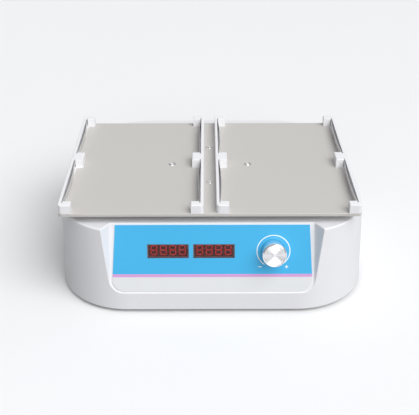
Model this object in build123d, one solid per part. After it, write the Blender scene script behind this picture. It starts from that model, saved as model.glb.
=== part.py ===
from build123d import *
import os
from math import atan2, cos, degrees, radians, sin, tan

# Bench shaker for four microplates, millimetres, +Z up.
# The origin lies on the bench, under the middle of the housing. The control panel faces -Y.
# A motor turns a short crank whose pin carries the tray. Four idler cranks of the same
# throw keep the tray square to the housing, so that every point of it runs in a small circle.

# Microplates, and the play that a pocket leaves round them
plate_length = 127.76
plate_width = 85.48
plate_play_x = 1.24
plate_play_y = 1.02

# Tray and its rails
tray_thickness = 3.0
tray_corner = 3.5
tray_edge_bevel = 0.4
rail_wall = 4.9
rail_height = 9.2
rail_gap = 12.4
rail_corner = 3.5
rail_edge_round = 0.7
rail_notch = 1.0
tab_reach = 7.2
end_tab = 9.0
mid_tab = 18.0

# Bowed strips that press on the plates
spring_thickness = 0.5
spring_recess = 2.0
spring_crown = 0.5
spring_tuck = 2.5
spring_slot = 1.3
spring_floor = 0.9
spring_height = 7.2

# Housing
housing_width = 312.0
housing_depth = 264.4
housing_height = 88.0
housing_draft = 2.6
front_corner = 72.0
rear_corner = 88.0
side_wall = 2.8
roof = 3.0
top_edge_round = 1.5
tray_gap = 8.0
foot_proud = 4.0

# Recessed control panel in the front of the housing
panel_setback = 16.1
panel_tilt = 14.8
bed_band = 19.16
bed_top_width = 196.8
bed_foot_width = 200.4
bed_corner = 12.0
bed_flare = 34.0
bed_foot_round = 2.0
panel_wall = 2.8
recess_edge_round = 1.0

# Printed sheet on the panel, with its windows and knob
overlay_thickness = 0.8
overlay_drop = 2.0
overlay_foot_gap = 1.2
overlay_top_width = 187.5
overlay_foot_width = 197.2
overlay_corner = 12.0
window_width = 40.4
window_height = 14.1
window_rim = 1.0
window_left_x = -43.1
window_right_x = 1.5
window_row = 28.4
window_play = 0.1
knob_x = 59.4
knob_row = 28.4
knob_radius = 11.7
knob_height = 14.0
knob_standoff = 1.1
knob_travel = 0.5

# Drive
drive_y = -9.3
orbit_radius = 2.25
idler_x = 80.0
idler_y = 48.0
pin_clearance = 0.05
ring_gap = 0.3
main_bearing = (10.0, 26.0, 8.0)
idler_bearing = (8.0, 22.0, 7.0)
ring_share = 0.28
bearing_level = 21.0
block_bearing_level = 6.5
crank_level = 4.0
crank_hub_radius = 13.0
crank_web_radius = 17.0
crank_web = 5.0
idler_web_radius = 12.0
idler_web = 4.0
web_gap = 2.0
crank_screw_radius = 2.0
crank_screw_length = 10.0
crank_screw_rise = 5.0
clamp_wall = 4.0
block_flange = 48.0
block_flange_width = 20.0
block_flange_thickness = 5.0
block_screw_x = 19.5
weight_radius = 38.0
weight_thickness = 9.0
motor_radius = 23.0
motor_floor_gap = 5.0
motor_shaft_radius = 4.0
motor_boss_radius = 11.0
motor_boss = 3.0
motor_pcd = 32.0
motor_band = 7.0
motor_block = 8.0
motor_block_rise = 12.0

# Casting that joins the tray to the cranks
drum_radius = 48.0
drum_wall = 6.0
drum_top = 6.0
drum_play = 1.75
arm_width = 16.0
arm_thickness = 10.0
seat_wall = 4.0
seat_relief = 1.2
drum_rib = 4.0
drum_boss_radius = 5.0
tray_screw_pcd = 80.0

# Chassis and base pan
pan_thickness = 2.0
pan_recess = 2.0
pan_play = 0.4
drive_room = 40.0
chassis_thickness = 4.0
chassis_corner = 14.0
chassis_window = (40.0, 22.0)
chassis_margin = 10.0
chassis_reach = 22.0
standoff_x = 106.0
standoff_y = 30.0
standoff_radius = 6.0
foot_inset_x = 48.0
foot_inset_y = 44.2
foot_radius = 11.0
foot_taper = 1.4
foot_recess = 5.0
foot_seat = 2.6
boss_radius = 5.0
vent_length = 32.0
vent_width = 3.5
vent_start = 62.0
vent_count = 6

# Boards
board_thickness = 1.6
board_rise = 6.0
spacer_inset = 4.0
post_inset = 5.0
post_radius = 3.0
main_board_size = (92.0, 64.0)
main_board_gap = 1.7
supply_board_size = (104.0, 46.0)
supply_board_shift = 22.0
supply_board_inset = 48.2
display_board_size = (140.0, 40.0)
display_board_x = -8.0
header_inset = 20.0
header_drop = 12.0
header_height = 6.0
module_depth = 7.0
module_gap = 0.3
module_height = 12.8
encoder_size = 13.0
encoder_bush_radius = 3.5
encoder_bush_reach = 4.2
encoder_shaft_radius = 3.0
encoder_tail_radius = 2.0
rotor_radius = 5.0
rotor_thickness = 2.0
rotor_play = 0.4

# Power inlet and switch in the rear wall
inlet_edge_gap = 3.0
bezel_gap = 8.2
rear_row_height = 40.0
inlet_flange = (50.0, 24.0, 3.0)
inlet_body = (26.8, 19.8, 22.0)
inlet_socket = (24.2, 16.2, 18.0)
inlet_screw_span = 40.0
inlet_pin_recess = 6.0
inlet_tail_length = 6.0
bezel_flange = (25.6, 31.0, 2.0)
bezel_body = (21.8, 27.8, 18.0)
rocker_width = 18.0
rocker_radius = 12.2
rocker_depth = 3.0
rocker_tilt = 10.0
rocker_pin_radius = 1.5
rocker_side_gap = 0.25

# Leads
lead_radius = 1.8
lead_bend = 4.0
ribbon_width = 14.0
ribbon_thickness = 1.0
header_rise = 6.0

# Round-headed screws: shank radius, head radius, head height and length
block_screw = (2.0, 3.6, 2.4, 9.0)
motor_screw = (1.5, 2.75, 2.0, 9.0)
deck_screw = (2.0, 3.8, 2.6, 12.0)
pan_screw = (2.0, 3.8, 1.8, 10.0)
housing_screw = (1.3, 3.2, 1.8, 12.0)
foot_screw = (1.5, 3.4, 1.8, 9.0)
board_screw = (1.5, 2.75, 1.8, 7.6)
display_screw = (1.05, 2.2, 1.6, 6.0)

# Countersunk screws: shank radius, head radius and length
rail_screw = (1.25, 2.9, 8.0)
tray_screw = (2.0, 4.1, 11.0)
inlet_screw = (1.25, 2.8, 9.0)
hex_radius = 1.25
hex_depth = 1.8

# Play in holes and seats
hole_play = 0.2
tap_play = 0.02
seat_play = 0.02
body_play = 0.2

# Levels and sizes that follow
edge_z = foot_proud
roof_z = edge_z + housing_height
tray_z = roof_z + tray_gap
tray_top = tray_z + tray_thickness
pan_z = edge_z + pan_recess
floor_z = pan_z + pan_thickness
deck_z = roof_z - drive_room
chassis_z = deck_z - chassis_thickness
motor_low = floor_z + motor_floor_gap
board_top = floor_z + board_rise + board_thickness
bearing_z = deck_z + bearing_level
crank_screw_z = deck_z + crank_level + crank_screw_rise
block_bearing_z = deck_z + block_bearing_level
draft_run = housing_height * tan(radians(housing_draft))
front_top_y = -housing_depth / 2 + draft_run
bed_length = (housing_height - bed_band) / cos(radians(panel_tilt))
overlay_length = bed_length - overlay_drop - overlay_foot_gap
rear_flat = housing_width / 2 - rear_corner
inlet_x = rear_flat - inlet_flange[0] / 2 - inlet_edge_gap
switch_x = inlet_x - inlet_flange[0] / 2 - bezel_gap - bezel_flange[0] / 2
foot_x = housing_width / 2 - foot_inset_x
foot_y = housing_depth / 2 - foot_inset_y
header_x = display_board_x - display_board_size[0] / 2 + header_inset
header_row = knob_row + header_drop
motor_lead_x = -motor_radius - motor_block / 2
main_board_place = (
    -main_board_size[0] / 2,
    drive_y - motor_radius - main_board_gap - main_board_size[1] / 2,
)
supply_board_place = (inlet_x + supply_board_shift, housing_depth / 2 - supply_board_inset)
drive_hole = drum_radius + orbit_radius + drum_play
board_depth = panel_wall + module_gap + module_depth
windows = (window_left_x, window_right_x)
bay = plate_length + plate_play_x
pocket = plate_width + plate_play_y
tray_width = 2 * bay + 4 * rail_wall + rail_gap
tray_depth = 2 * pocket + mid_tab + 2 * end_tab
tray_x = -orbit_radius
pocket_y = (pocket + mid_tab) / 2
tab_rows = [
    (-(tray_depth - end_tab) / 2, end_tab),
    (0.0, mid_tab),
    ((tray_depth - end_tab) / 2, end_tab),
]
idler_places = {
    "front_left": (-idler_x, drive_y - idler_y),
    "front_right": (idler_x, drive_y - idler_y),
    "rear_left": (-idler_x, drive_y + idler_y),
    "rear_right": (idler_x, drive_y + idler_y),
}
standoff_places = [(x, drive_y + y) for x in (-standoff_x, standoff_x) for y in (-standoff_y, standoff_y)]
foot_places = [(x, y) for x in (-foot_x, foot_x) for y in (-foot_y, foot_y)]
block_screw_places = [(x + side * block_screw_x, y) for x, y in idler_places.values() for side in (-1, 1)]
motor_screw_places = [
    (motor_pcd / 2 * cos(radians(a)), drive_y + motor_pcd / 2 * sin(radians(a))) for a in (45, 135, 225, 315)
]
display_posts = [
    (
        display_board_x + sx * (display_board_size[0] / 2 - post_inset),
        knob_row + sy * (display_board_size[1] / 2 - post_inset),
    )
    for sx in (-1, 1)
    for sy in (-1, 1)
]

pieces = {}


def keep(name, *shapes):
    """Store the solids of one named piece, or of one group of like pieces."""
    solids = [solid for shape in shapes for solid in shape.solids()]
    pieces[name] = solids[0] if len(solids) == 1 else Compound(solids)


def disc(radius, low, high, x=0.0, y=0.0):
    """Upright cylinder between two levels."""
    base = (Align.CENTER, Align.CENTER, Align.MIN)
    return Pos(x, y, low) * Cylinder(radius, high - low, align=base)


def ring(outer, inner, low, high, x=0.0, y=0.0):
    """Upright tube between two levels."""
    return disc(outer, low, high, x, y) - disc(inner, low, high, x, y)


def slab(sketch, low, high):
    """Flat plate of a plan sketch between two levels."""
    return extrude(Pos(0, 0, low) * sketch, amount=high - low)


def pan_head(screw):
    """Round-headed screw: its shank below level 0, its head above it."""
    radius, head_radius, head, length = screw
    return disc(radius, -length, 0) + disc(head_radius, 0, head)


def flat_head(screw):
    """Countersunk screw with the top of its head at level 0."""
    radius, head_radius, length = screw
    cone = head_radius - radius
    head = Pos(0, 0, -cone / 2) * Cone(radius, head_radius, cone)
    return head + disc(radius, -length, -cone)


def sink(screw, depth):
    """Cutter for a countersunk screw's hole, its mouth at level 0, with play all round."""
    radius = screw[0] + 1.75 * hole_play
    head_radius = screw[1] + hole_play / 2
    cone = head_radius - radius
    mouth = Pos(0, 0, -cone / 2) * Cone(radius, head_radius, cone)
    return mouth + disc(radius, -depth, 0)


# Housing: drafted shell with large plan corners, a recessed panel and a round drive opening


def housing_plan(inset=0.0):
    """Outline of the housing's lower edge, moved inwards by an inset."""
    plan = Rectangle(housing_width - 2 * inset, housing_depth - 2 * inset)
    plan = fillet(plan.vertices().group_by(Axis.Y)[0], front_corner - inset)
    return fillet(plan.vertices().group_by(Axis.Y)[-1], rear_corner - inset)


def panel_plane(depth=0.0):
    """Plane of the panel bed, its origin at the middle of the top edge; depth goes into the housing."""
    tilt = radians(panel_tilt)
    normal = Vector(0, -cos(tilt), sin(tilt))
    top = Vector(0, front_top_y + panel_setback, roof_z)
    return Plane(origin=top - normal * depth, x_dir=(1, 0, 0), z_dir=normal)


def on_panel(x, row, height=0.0):
    """Place on the panel: x along it, row down from its top edge, height out of it."""
    return panel_plane() * Pos(x, -row, height)


def bed_sketch(grow, above):
    """Panel bed with rounded foot corners, grown on every side, and run past its top edge."""
    slope = (bed_foot_width - bed_top_width) / 2 / bed_length
    top = above
    foot = -bed_length - grow
    half_top = bed_top_width / 2 + grow - slope * top
    half_foot = bed_foot_width / 2 + grow + slope * grow
    plan = make_face(Polyline((-half_top, top), (-half_foot, foot), (half_foot, foot), (half_top, top), close=True))
    return fillet(plan.vertices().group_by(Axis.Y)[0], bed_corner + grow)


def panel_recess(inset=0.0):
    """Flared block that the panel recess takes out of the housing; an inset leaves that wall behind it."""
    above = 14.0
    reach = 30.0
    flare = reach * tan(radians(bed_flare))
    low = panel_plane(inset) * bed_sketch(inset, above)
    high = panel_plane(inset - reach) * bed_sketch(inset + flare, above)
    return loft([low, high], ruled=True)


def housing_bosses():
    """Screw bosses in the four corners, each tucked against the corner wall."""
    bosses = []
    for side in (-1, 1):
        for corner, end in ((front_corner, -1), (rear_corner, 1)):
            reach = (corner - side_wall - draft_run - boss_radius + 1.5) / 2**0.5
            x = side * (housing_width / 2 - corner + reach)
            y = end * (housing_depth / 2 - corner + reach)
            bosses.append((x, y))
    return bosses


def rear_plane(x, z):
    """Plane of the drafted rear wall's outer face at a height; its y axis runs up the wall."""
    draft = radians(housing_draft)
    y = housing_depth / 2 - (z - edge_z) * tan(draft)
    return Plane(origin=(x, y, z), x_dir=(-1, 0, 0), z_dir=(0, cos(draft), sin(draft)))




def housing():
    outer = extrude(Pos(0, 0, edge_z) * housing_plan(), amount=housing_height, taper=housing_draft)
    top_edges = outer.faces().sort_by(Axis.Z)[-1].edges()
    outer = fillet(top_edges, top_edge_round)
    recess = panel_recess()
    bed_edges = recess.faces().sort_by(lambda f: (f.center() - panel_plane().origin).dot(panel_plane().z_dir))[0].edges()
    foot_edges = [e for e in bed_edges if panel_plane().to_local_coords(e.center()).Y < 10.0]
    recess = fillet(foot_edges, bed_foot_round)
    cavity = extrude(Pos(0, 0, edge_z) * housing_plan(side_wall), amount=housing_height - roof, taper=housing_draft)
    cavity -= panel_recess(panel_wall)
    shell = outer - recess
    shell = fillet(new_edges(outer, recess, combined=shell), recess_edge_round)
    shell -= cavity
    for x, y in housing_bosses():
        boss = disc(boss_radius, floor_z, roof_z - roof / 2, x, y)
        shell += boss
        shell -= disc(housing_screw[0] + tap_play, floor_z - 1, pan_z + housing_screw[3] + 2.0, x, y)
    for x, row in display_posts:
        post = on_panel(x, row, -board_depth) * disc(post_radius, 0, board_depth - panel_wall / 2)
        shell += post - on_panel(x, row, -board_depth) * disc(display_screw[0] + tap_play, -1, display_screw[3])
    lip = ring(drive_hole + 2.0, drive_hole, roof_z - roof / 2, roof_z + 2.5, 0, drive_y)
    shell += lip
    shell -= disc(drive_hole, roof_z - 2 * roof, roof_z + roof, 0, drive_y)
    for x in windows:
        hole = Rectangle(window_width - 2 * window_rim, window_height - 2 * window_rim)
        shell -= extrude(on_panel(x, window_row) * hole, amount=2 * panel_wall, both=True)
    shell -= on_panel(knob_x, knob_row) * disc(encoder_bush_radius + 0.1, -2 * panel_wall, panel_wall)
    inlet = Rectangle(inlet_body[0] + 2 * body_play, inlet_body[1] + 2 * body_play)
    shell -= extrude(rear_plane(inlet_x, rear_row_height) * inlet, amount=2 * side_wall, both=True)
    bezel = Rectangle(bezel_body[0] + 2 * body_play, bezel_body[1] + 2 * body_play)
    shell -= extrude(rear_plane(switch_x, rear_row_height) * bezel, amount=2 * side_wall, both=True)
    for side in (-1, 1):
        hole = rear_plane(inlet_x, rear_row_height) * Pos(side * inlet_screw_span / 2, 0, 0)
        shell -= hole * disc(inlet_screw[0] + tap_play, -2 * side_wall, side_wall)
    return shell


keep("housing", housing())

# Control panel: printed sheet, lenses, display and encoder


def overlay():
    slope = (overlay_foot_width - overlay_top_width) / 2 / overlay_length
    top = -overlay_drop
    foot = top - overlay_length
    half_top = overlay_top_width / 2
    half_foot = overlay_foot_width / 2
    plan = make_face(Polyline((-half_top, top), (-half_foot, foot), (half_foot, foot), (half_top, top), close=True))
    plan = fillet(plan.vertices().group_by(Axis.Y)[0], overlay_corner)
    for x in windows:
        plan -= Pos(x, -window_row) * Rectangle(window_width, window_height)
    plan -= Pos(knob_x, -knob_row) * Circle(encoder_bush_radius + 4.5)
    return extrude(panel_plane() * plan, amount=overlay_thickness)


keep("control_overlay", overlay())
window_pane = Rectangle(window_width - 2 * window_play, window_height - 2 * window_play)
module = Box(window_width - 2 * window_play, module_height, module_depth)
keep("display_windows", *[extrude(on_panel(x, window_row) * window_pane, amount=overlay_thickness) for x in windows])
keep("led_displays", *[on_panel(x, window_row, -board_depth + module_depth / 2) * module for x in windows])


def display_board():
    board = Box(display_board_size[0], display_board_size[1], board_thickness)
    back = -board_thickness / 2
    chip_x = -display_board_size[0] / 2 + 2 * header_inset
    board += Pos(chip_x, display_board_size[1] / 2 - 8.0, back - 1.1) * Box(18, 7, 2.2)
    board = on_panel(display_board_x, knob_row, -board_depth + back) * board
    board += on_panel(header_x, header_row, -board_depth - board_thickness - header_height / 2) * Box(22, 6, header_height)
    for x, row in display_posts:
        board -= on_panel(x, row, -board_depth) * disc(display_screw[0] + hole_play, -2 * board_thickness, 1)
    return board


keep("display_board", display_board())
keep(
    "display_board_screws",
    *[
        on_panel(x, row, -board_depth - board_thickness) * Rot(180, 0, 0) * pan_head(display_screw)
        for x, row in display_posts
    ],
)

encoder_back = board_depth
rotor_low = -panel_wall - 4.6
cavity_low = rotor_low - rotor_play
cavity_high = rotor_low + rotor_thickness + rotor_play
tail_low = cavity_low - 0.6
shoulder = cavity_high + 1.5


def encoder_body():
    size = encoder_size
    body = Pos(0, 0, -(encoder_back + panel_wall) / 2) * Box(size, size, encoder_back - panel_wall)
    body += disc(encoder_bush_radius, -panel_wall - 0.5, encoder_bush_reach)
    body -= disc(rotor_radius + rotor_play, cavity_low, cavity_high)
    body -= disc(encoder_shaft_radius + pin_clearance, shoulder - knob_travel - 0.3, encoder_bush_reach + 1)
    body -= disc(encoder_tail_radius + pin_clearance + 0.1, cavity_low - 1.6, shoulder)
    return on_panel(knob_x, knob_row) * body


def encoder_nut():
    nut = extrude(RegularPolygon(5.0, 6, major_radius=False), amount=2.0)
    return on_panel(knob_x, knob_row) * (nut - disc(encoder_bush_radius + 0.02, -1, 3))


def encoder_rotor():
    rotor = disc(rotor_radius, rotor_low, rotor_low + rotor_thickness)
    bore = disc(encoder_tail_radius + pin_clearance, rotor_low - 1, rotor_low + 3)
    return on_panel(knob_x, knob_row) * (rotor - bore)


knob_back = overlay_thickness + knob_standoff
knob_bore = knob_height - 3.0


def encoder_shaft():
    shaft = disc(encoder_tail_radius, tail_low, shoulder)
    shaft += disc(encoder_shaft_radius, shoulder, knob_back + knob_bore - 0.2)
    return on_panel(knob_x, knob_row) * shaft


def knob():
    """Turned cap: bevelled rim, slightly dished face, deep counterbore over the nut."""
    r = knob_radius
    h = knob_height
    dish = 0.5
    bevel = 0.9
    mouth = 7.2
    mouth_depth = 3.8
    profile = make_face(
        Polyline(
            (encoder_shaft_radius + 0.02, mouth_depth),
            (mouth, mouth_depth),
            (mouth, 0.0),
            (r - 0.5, 0.0),
            (r, 0.5),
            (r, h - bevel),
            (r - bevel, h),
            (r - bevel - 0.6, h - dish),
            (0.0, h - dish),
            (0.0, knob_bore),
            (encoder_shaft_radius + 0.02, knob_bore),
            close=True,
        )
    )
    turned = revolve(Plane.XZ * profile, axis=Axis.Z)
    turned -= Pos(0, -r, mouth_depth + 3.0) * Rot(90, 0, 0) * Cylinder(1.3, 2 * (r - encoder_shaft_radius + 0.5))
    return on_panel(knob_x, knob_row, knob_back) * turned


def knob_screw():
    screw = Rot(90, 0, 0) * Cylinder(1.25, 6.0)
    place = Pos(0, -(encoder_shaft_radius + 3.05), 3.8 + 3.0)
    return on_panel(knob_x, knob_row, knob_back) * place * screw


keep("encoder_body", encoder_body())
keep("encoder_nut", encoder_nut())
keep("encoder_rotor", encoder_rotor())
keep("encoder_shaft", encoder_shaft())
keep("knob", knob())
keep("knob_set_screw", knob_screw())

# Tray, rails and bowed strips


def rail():
    """One rail, its wall's outer face on x = 0, its tabs towards +X, standing on level 0."""
    plan = Pos(rail_wall / 2, 0) * Rectangle(rail_wall, tray_depth)
    for y, width in tab_rows:
        plan += Pos((rail_wall + tab_reach) / 2, y) * Rectangle(rail_wall + tab_reach, width)
    plan = fillet(plan.vertices().group_by(Axis.X)[0], rail_corner)
    plan -= Circle(rail_notch)
    body = extrude(plan, amount=rail_height)
    body = fillet(body.faces().sort_by(Axis.Z)[-1].outer_wire().edges(), rail_edge_round)
    seat = rail_wall - spring_recess
    for side in (-1, 1):
        y = side * pocket_y
        high = rail_height - spring_floor
        up = (Align.MIN, Align.CENTER, Align.MIN)
        body -= Pos(seat, y, spring_floor) * Box(spring_recess + 1, pocket, high + 1, align=up)
        body -= Pos(seat, y, spring_floor) * Box(spring_slot, pocket + 2 * spring_tuck + 1, high + 1, align=up)
    for y, _ in tab_rows:
        body -= disc(rail_screw[0] + tap_play, -1, rail_screw[2] - tray_thickness + 1.0, rail_screw_x, y)
    return body


def strip():
    """One bowed strip: two equal arcs, tucked into slots at both ends, proud of the wall at its crown."""
    back = rail_wall - spring_recess + 0.1
    front = back + spring_thickness
    bow = spring_crown + spring_recess - 0.1 - spring_thickness
    half = pocket / 2 + spring_tuck
    inner = ThreePointArc((back, -half), (back + bow, 0), (back, half))
    outer = ThreePointArc((front, half), (front + bow, 0), (front, -half))
    ends = Line((back, half), (front, half)) + Line((front, -half), (back, -half))
    return extrude(make_face(inner + outer + ends), amount=spring_height)


rail_screw_x = (rail_wall + tab_reach) / 2 + 1.0
rail_places = {
    "rail_left_outer": Pos(tray_x - tray_width / 2, drive_y, tray_top),
    "rail_left_inner": Pos(tray_x - rail_gap / 2, drive_y, tray_top) * Rot(0, 0, 180),
    "rail_right_inner": Pos(tray_x + rail_gap / 2, drive_y, tray_top),
    "rail_right_outer": Pos(tray_x + tray_width / 2, drive_y, tray_top) * Rot(0, 0, 180),
}
tray_screw_places = [
    (tray_x + dx * tray_screw_pcd / 2, drive_y + dy * tray_screw_pcd / 2)
    for dx, dy in ((1, 0), (0, 1), (-1, 0), (0, -1))
]
one_rail = rail()
for name, place in rail_places.items():
    keep(name, place * one_rail)
one_strip = strip()
keep(
    "plate_springs",
    *[
        place * Pos(0, side * pocket_y, spring_floor) * one_strip
        for place in rail_places.values()
        for side in (-1, 1)
    ],
)


def tray():
    plan = Pos(tray_x, drive_y) * RectangleRounded(tray_width, tray_depth, tray_corner)
    plate = slab(plan, tray_z, tray_top)
    plate = chamfer(plate.faces().sort_by(Axis.Z)[-1].edges(), tray_edge_bevel)
    for x, y in tray_screw_places:
        plate -= Pos(x, y, tray_top) * sink(tray_screw, 2 * tray_thickness)
    for place in rail_places.values():
        for y, _ in tab_rows:
            hole = Rot(180, 0, 0) * sink(rail_screw, 2 * tray_thickness)
            plate -= place * Pos(rail_screw_x, y, -tray_thickness) * hole
    return plate


keep("tray_plate", tray())
keep(
    "rail_screws",
    *[
        place * Pos(rail_screw_x, y, -tray_thickness) * Rot(180, 0, 0) * flat_head(rail_screw)
        for place in rail_places.values()
        for y, _ in tab_rows
    ],
)
hex_recess = extrude(RegularPolygon(hex_radius, 6, major_radius=False), amount=-hex_depth)
one_tray_screw = flat_head(tray_screw) - hex_recess
keep("tray_screws", *[Pos(x, y, tray_top) * one_tray_screw for x, y in tray_screw_places])

# Drive: cranks, bearings and the casting that carries the tray


def ring_radii(bearing):
    """Radii of a bearing's bore, inner ring, shielded outer ring and outside."""
    bore, outside, _ = bearing
    step = (outside - bore) / 2
    split = bore / 2 + ring_share * step
    return bore / 2, split, split + ring_gap, outside / 2


def inner_ring(bearing, low, x, y):
    bore, split, _, _ = ring_radii(bearing)
    return ring(split, bore + seat_play, low, low + bearing[2], x, y)


def outer_ring(bearing, low, x, y):
    _, _, split, outside = ring_radii(bearing)
    return ring(outside, split, low, low + bearing[2], x, y)


def seat_bore(bearing):
    return bearing[1] / 2 + seat_play


carrier_low = bearing_z - 0.5


def carrier():
    """Casting: a drum under the tray, a hub for the main bearing and an arm to each idler pin."""
    x0 = tray_x
    y0 = drive_y
    arm_top = carrier_low + arm_thickness
    hub_radius = seat_bore(main_bearing) + seat_wall
    drum_low = arm_top - 1.0
    body = disc(drum_radius, drum_low, tray_z, x0, y0)
    body -= disc(drum_radius - drum_wall, drum_low - 1, tray_z - drum_top, x0, y0)
    body += disc(hub_radius, carrier_low, tray_z, x0, y0)
    up = (Align.MIN, Align.CENTER, Align.MIN)
    for angle in (45, 135, 225, 315):
        rib = Pos(hub_radius - 1, 0, 0) * Box(drum_radius - hub_radius - 1, drum_rib, tray_z - drum_low - 1, align=up)
        body += Pos(x0, y0, drum_low) * Rot(0, 0, angle) * rib
    for x, y in tray_screw_places:
        body += disc(drum_boss_radius, drum_low, tray_z, x, y)
    for x, y in idler_places.values():
        reach = Vector(x - orbit_radius - x0, y - y0)
        turn = Rot(0, 0, degrees(atan2(reach.Y, reach.X)))
        blade = Pos(x0, y0) * turn * Pos(reach.length / 2, 0) * Rectangle(reach.length, arm_width)
        body += slab(blade, carrier_low, arm_top)
        body += disc(seat_bore(idler_bearing) + seat_wall, carrier_low, arm_top, x - orbit_radius, y)
    body -= seat_cut(main_bearing, bearing_z, x0, y0)
    for x, y in idler_places.values():
        body -= seat_cut(idler_bearing, bearing_z, x - orbit_radius, y)
    for x, y in tray_screw_places:
        body -= disc(tray_screw[0] + tap_play, tray_top - tray_screw[2] - 2.0, tray_z + 1, x, y)
    return body


def seat_cut(bearing, low, x, y):
    """Cutter for a bearing seat open downwards, with a relief above the turning inner ring."""
    _, _, split, _ = ring_radii(bearing)
    top = low + bearing[2]
    return disc(seat_bore(bearing), low - 5, top, x, y) + disc(split + 0.7, top - 1, top + seat_relief, x, y)


def drive_crank():
    """Hub on the motor shaft, round web and eccentric pin with a shoulder for its bearing."""
    bore, split, _, _ = ring_radii(main_bearing)
    web_z = bearing_z - web_gap - crank_web
    hub = disc(crank_hub_radius, deck_z + crank_level, web_z, 0, drive_y)
    web = disc(crank_web_radius, web_z, web_z + crank_web, 0, drive_y)
    shoulder_ring = disc(split - 0.3, web_z + crank_web, bearing_z, tray_x, drive_y)
    pin = disc(bore, bearing_z - web_gap, bearing_z + main_bearing[2], tray_x, drive_y)
    crank = hub + web + shoulder_ring + pin
    crank -= disc(motor_shaft_radius + seat_play, deck_z, web_z, 0, drive_y)
    tapped = Cylinder(crank_screw_radius + tap_play, 2 * (crank_hub_radius - motor_shaft_radius))
    return crank - Pos(0, drive_y - crank_hub_radius, crank_screw_z) * Rot(90, 0, 0) * tapped


def idler_crank(x, y):
    """Journal, web and eccentric pin of one idler, with a shoulder at each bearing."""
    bore, split, _, _ = ring_radii(idler_bearing)
    top = block_bearing_z + idler_bearing[2]
    web_z = bearing_z - web_gap - idler_web
    crank = disc(bore, block_bearing_z - 2.0, top + 1, x, y)
    crank += disc(split - 0.3, top, web_z, x, y)
    crank += disc(idler_web_radius, web_z, web_z + idler_web, x, y)
    crank += disc(split - 0.3, web_z + idler_web, bearing_z, x - orbit_radius, y)
    crank += disc(bore, bearing_z - web_gap, bearing_z + idler_bearing[2], x - orbit_radius, y)
    return crank


def counterweight():
    """Sector clamped round the crank's hub, opposite to its pin."""
    low = deck_z + crank_level + 0.5
    half = Pos(weight_radius, drive_y) * Rectangle(2 * weight_radius, 2 * weight_radius)
    sector = (Pos(0, drive_y) * Circle(weight_radius)) & half
    body = slab(sector, low, low + weight_thickness)
    body += disc(crank_hub_radius + clamp_wall, low, low + weight_thickness, 0, drive_y)
    body -= disc(crank_hub_radius + seat_play, low - 1, low + weight_thickness + 1, 0, drive_y)
    key_way = Cylinder(crank_screw_radius + 3 * hole_play, 2 * clamp_wall)
    return body - Pos(0, drive_y - crank_hub_radius - clamp_wall + 1, crank_screw_z) * Rot(90, 0, 0) * key_way


def idler_block():
    """Flanged bearing block on the chassis, its flange along X."""
    _, split, _, _ = ring_radii(idler_bearing)
    top = block_bearing_z + idler_bearing[2] + 0.3
    body = slab(SlotOverall(block_flange, block_flange_width), deck_z, deck_z + block_flange_thickness)
    body += disc(seat_bore(idler_bearing) + seat_wall, deck_z, top)
    body -= disc(seat_bore(idler_bearing), block_bearing_z, top + 1)
    body -= disc(split + ring_gap + 0.7, deck_z - 1, top)
    for side in (-1, 1):
        body -= disc(block_screw[0] + hole_play, deck_z - 1, deck_z + block_flange_thickness + 1, side * block_screw_x)
    return body


one_block = idler_block()
keep("drive_crank", drive_crank())
keep("counterweight", counterweight())
set_screw_y = drive_y - motor_shaft_radius - pin_clearance - crank_screw_length / 2
set_screw = Rot(90, 0, 0) * Cylinder(crank_screw_radius, crank_screw_length)
keep("crank_set_screw", Pos(0, set_screw_y, crank_screw_z) * set_screw)
keep("motor_shaft", disc(motor_shaft_radius, motor_low + 6, bearing_z - web_gap - crank_web - 1, 0, drive_y))
keep("main_bearing_inner", inner_ring(main_bearing, bearing_z, tray_x, drive_y))
keep("tray_carrier", carrier())
keep(
    "carrier_bearing_outers",
    outer_ring(main_bearing, bearing_z, tray_x, drive_y),
    *[outer_ring(idler_bearing, bearing_z, x - orbit_radius, y) for x, y in idler_places.values()],
)
keep("block_bearing_outers", *[outer_ring(idler_bearing, block_bearing_z, x, y) for x, y in idler_places.values()])
keep("idler_blocks", *[Pos(x, y, 0) * one_block for x, y in idler_places.values()])
keep(
    "block_screws",
    *[Pos(x, y, deck_z + block_flange_thickness) * pan_head(block_screw) for x, y in block_screw_places],
)
for corner, (x, y) in idler_places.items():
    keep(f"idler_crank_{corner}", idler_crank(x, y))
    keep(
        f"idler_bearings_{corner}",
        inner_ring(idler_bearing, block_bearing_z, x, y),
        inner_ring(idler_bearing, bearing_z, x - orbit_radius, y),
    )


def motor_body():
    """Round motor hung under the chassis, with a locating boss, end bands and a lead block."""
    low = motor_low
    body = disc(motor_radius, low, chassis_z, 0, drive_y)
    for level in (low + motor_band, chassis_z - motor_band):
        body -= ring(motor_radius + 1, motor_radius - 0.8, level - 0.6, level + 0.6, 0, drive_y)
    body += disc(motor_boss_radius, chassis_z, chassis_z + motor_boss, 0, drive_y)
    body += Pos(-motor_radius, drive_y, low + motor_block_rise) * Box(motor_block, 12, motor_block)
    body -= disc(motor_shaft_radius + pin_clearance + 0.3, low + 5, deck_z + 1, 0, drive_y)
    for x, y in motor_screw_places:
        body -= disc(motor_screw[0] + tap_play, deck_z - motor_screw[3] - 2.0, chassis_z + 1, x, y)
    return body


keep("motor_body", motor_body())
keep("motor_screws", *[Pos(x, y, deck_z) * pan_head(motor_screw) for x, y in motor_screw_places])

# Chassis, base pan, feet and fasteners


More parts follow.
